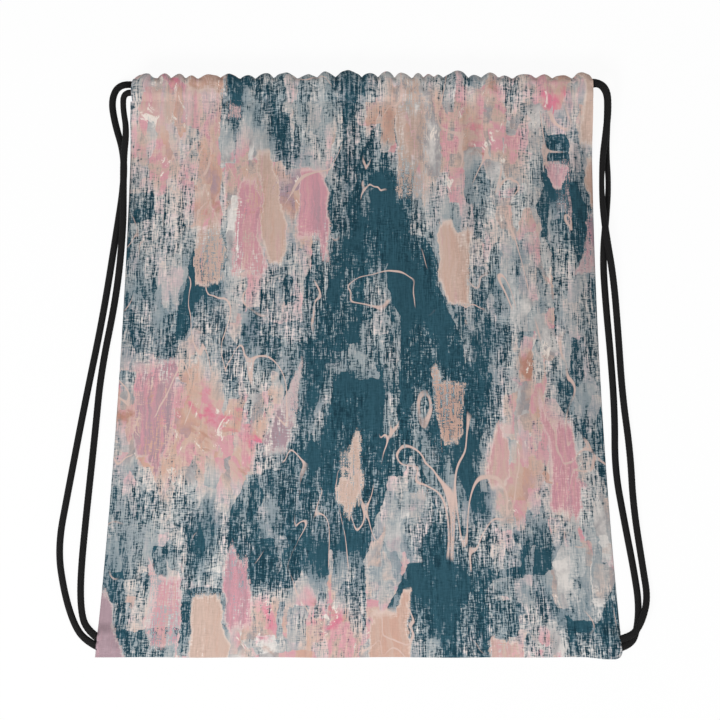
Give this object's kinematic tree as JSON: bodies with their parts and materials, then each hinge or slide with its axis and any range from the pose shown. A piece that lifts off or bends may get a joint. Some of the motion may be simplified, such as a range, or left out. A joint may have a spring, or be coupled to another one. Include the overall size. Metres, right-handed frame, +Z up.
{
  "type": "drawstring backpack",
  "caption": "Flat cloth drawstring backpack lying on its back, its mouth partly gathered on doubled cords that run down to the bottom corners as shoulder straps.",
  "frame": {"origin": "on the surface that the bag lies on, under the middle of the bag's length and width, cords left out", "axes": "+X across the bag, to the wearer's left shoulder seen from the front; +Y from the bottom edge to the mouth; +Z up out of the front panel"},
  "size_m": [0.4285, 0.422, 0.0383],
  "materials": {
    "printed_cloth": "woven polyester, printed with a dry-brushed paint pattern, matt",
    "cloth_inside": "the cloth's unprinted white inside, matt",
    "cord": "braided black polyester cord, matt"
  },
  "bodies": {
    "root": {"front_panel": "printed_cloth", "back_panel": "printed_cloth", "front_casing": "printed_cloth", "back_casing": "printed_cloth", "bottom_seam": "cloth_inside", "left_corner_tack": "printed_cloth", "right_corner_tack": "printed_cloth", "left_cord_in_casing": "cord", "left_cord_ends": "cord", "right_cord_in_casing": "cord", "right_cord_ends": "cord"},
    "left_side": {"left_side_seam": "cloth_inside"},
    "right_side": {"right_side_seam": "cloth_inside"},
    "left_strap": {"left_front_strand": "cord", "left_back_strand": "cord"},
    "right_strap": {"right_front_strand": "cord", "right_back_strand": "cord"}
  },
  "joints": [
    {"name": "left_draw", "type": "hinge", "parent": "root", "child": "left_side", "pos_m": [-0.1888, -0.198, 0], "axis": [0, 0, -1], "range_deg": [0, 5], "deforming": ["front_panel", "back_panel", "front_casing", "back_casing", "bottom_seam"]},
    {"name": "right_draw", "type": "hinge", "parent": "root", "child": "right_side", "pos_m": [0.1888, -0.198, 0], "axis": [0, 0, 1], "range_deg": [0, 5], "deforming": ["front_panel", "back_panel", "front_casing", "back_casing", "bottom_seam"]},
    {"name": "left_strap_swing", "type": "hinge", "parent": "root", "child": "left_strap", "pos_m": [-0.195, -0.189, 0.003], "axis": [0.0606, 0.9981, 0.0135], "range_deg": [0, 150], "deforming": ["left_front_strand", "left_back_strand"]},
    {"name": "right_strap_swing", "type": "hinge", "parent": "root", "child": "right_strap", "pos_m": [0.195, -0.1935, 0.005], "axis": [0.0446, -0.999, -0.0079], "range_deg": [0, 150], "deforming": ["right_front_strand", "right_back_strand"]}
  ],
  "couplings": [
    {"joint": "right_draw", "follows": "left_draw", "ratio": 1}
  ]
}
